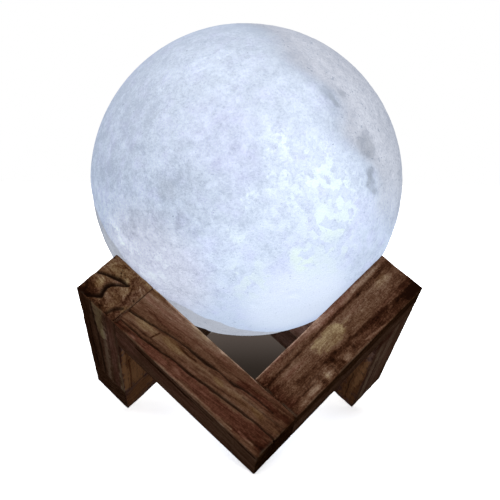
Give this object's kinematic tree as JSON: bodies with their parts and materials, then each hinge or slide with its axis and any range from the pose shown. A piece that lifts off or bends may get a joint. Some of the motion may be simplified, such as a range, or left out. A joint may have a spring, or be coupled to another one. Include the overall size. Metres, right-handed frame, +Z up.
{
  "type": "salt lamp",
  "caption": "Round salt ball lamp, lit from inside by a cordless light unit, lying in a zigzag ring stand of square dark wooden bars.",
  "frame": {"origin": "on the surface the stand rests on, under the middle of the ring and of the ball", "axes": "+Z up along the axis of the ball and its bore; -Y towards the foot that points at the viewer; +X to the viewer's right"},
  "size_m": [0.154, 0.1776, 0.1972],
  "materials": {
    "oiled_wood": "satin",
    "dowel_wood": "matte",
    "rock_salt": "matte",
    "cap_plastic": "matte",
    "housing_plastic": "satin",
    "screw_steel": "satin",
    "spring_steel": "satin",
    "board_laminate": "satin",
    "component_black": "satin",
    "inlet_steel": "satin",
    "button_plastic": "satin",
    "clear_plastic": "gloss",
    "cell_can": "satin",
    "led_aluminium": "satin",
    "led_chip": "gloss",
    "lead_insulation": "satin",
    "opal_plastic": "satin"
  },
  "bodies": {
    "stand": {"front_left_bar": "oiled_wood", "left_rear_bar": "oiled_wood", "rear_left_bar": "oiled_wood", "rear_right_bar": "oiled_wood", "right_rear_bar": "oiled_wood", "front_right_bar": "oiled_wood", "corner_dowels": "dowel_wood"},
    "globe": {"salt_globe": "rock_salt"},
    "light_unit": {"unit_cap": "cap_plastic", "unit_housing": "housing_plastic", "cap_screws": "screw_steel", "spring_clips": "spring_steel", "clip_rivets": "screw_steel", "control_board": "board_laminate", "board_components": "component_black", "charging_inlet": "inlet_steel", "switch_body": "component_black", "indicator_pipe": "clear_plastic", "battery_cell": "cell_can", "battery_holder": "housing_plastic", "battery_tabs": "screw_steel", "led_board": "led_aluminium", "led_board_screws": "screw_steel", "led_chips": "led_chip", "led_leads": "lead_insulation", "diffuser_dome": "opal_plastic"},
    "button": {"push_button": "button_plastic", "switch_plunger": "button_plastic"}
  },
  "joints": [
    {"name": "globe_lift", "type": "slide", "parent": "stand", "child": "globe", "axis": [0, 0, 1], "range_m": [0, 0.1]},
    {"name": "light_unit_pull", "type": "slide", "parent": "globe", "child": "light_unit", "axis": [0, 0, -1], "range_m": [0, 0.045]},
    {"name": "button_press", "type": "slide", "parent": "light_unit", "child": "button", "axis": [0, 0, 1], "range_m": [0, 0.0008], "stiffness_N_per_m": 1500}
  ]
}
